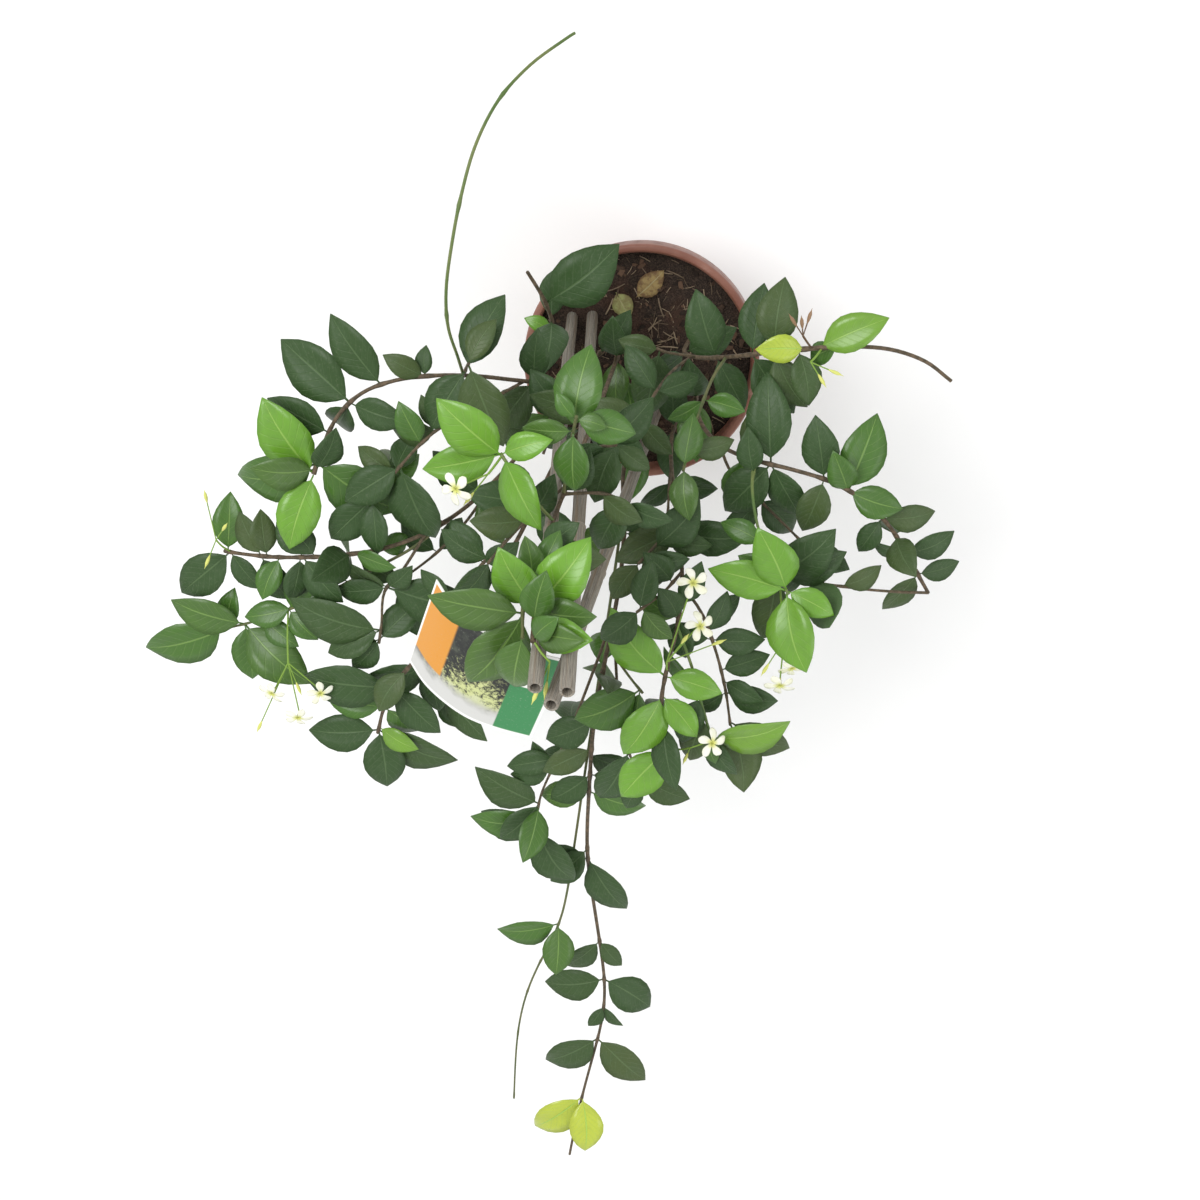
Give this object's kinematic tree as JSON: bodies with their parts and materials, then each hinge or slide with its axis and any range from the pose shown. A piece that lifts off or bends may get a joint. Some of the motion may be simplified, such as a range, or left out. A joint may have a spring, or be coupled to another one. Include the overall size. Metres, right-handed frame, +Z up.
{
  "type": "potted star jasmine",
  "caption": "Star jasmine climber with glossy oval leaves and white pinwheel flowers on three canes, in a round terracotta-coloured plastic pot with soil.",
  "frame": {"origin": "centre of the underside of the pot, on the floor", "axes": "+Z up out of the pot, -Y along the longest trailing stem, +X to the viewer's right when the plant trails toward the viewer"},
  "size_m": [0.6907, 1.1927, 0.6611],
  "materials": {
    "pot_plastic": "matte",
    "potting_soil": "rough",
    "weathered_cane": "weathered",
    "label_card": "gloss",
    "leafy_stem": "satin",
    "flower": "satin",
    "dried_flower": "matte",
    "fallen_leaf": "matte"
  },
  "bodies": {
    "root": {"pot": "pot_plastic", "soil": "potting_soil", "cane_a": "weathered_cane", "cane_b": "weathered_cane", "cane_c": "weathered_cane", "picture_label": "label_card", "leafy_stem_north_west": "leafy_stem", "leafy_stem_west": "leafy_stem", "leafy_stem_south_west": "leafy_stem", "leafy_stem_crown": "leafy_stem", "leafy_stem_south": "leafy_stem", "leafy_stem_south_east": "leafy_stem", "leafy_stem_east": "leafy_stem", "leafy_stem_north_east": "leafy_stem", "leafy_stem_pot_edge": "leafy_stem", "flowers_west_rosette": "flower", "flowers_south_middle": "flower", "flowers_south_east": "flower", "flowers_east": "flower", "flowers_south_west": "flower", "buds_west": "flower", "buds_north_east": "flower", "buds_crown": "flower", "dry_flowers_north_east": "dried_flower", "fallen_leaf_brown": "fallen_leaf", "fallen_leaf_olive": "fallen_leaf", "fallen_leaf_pale": "fallen_leaf", "fallen_leaf_small": "fallen_leaf"}
  },
  "joints": []
}
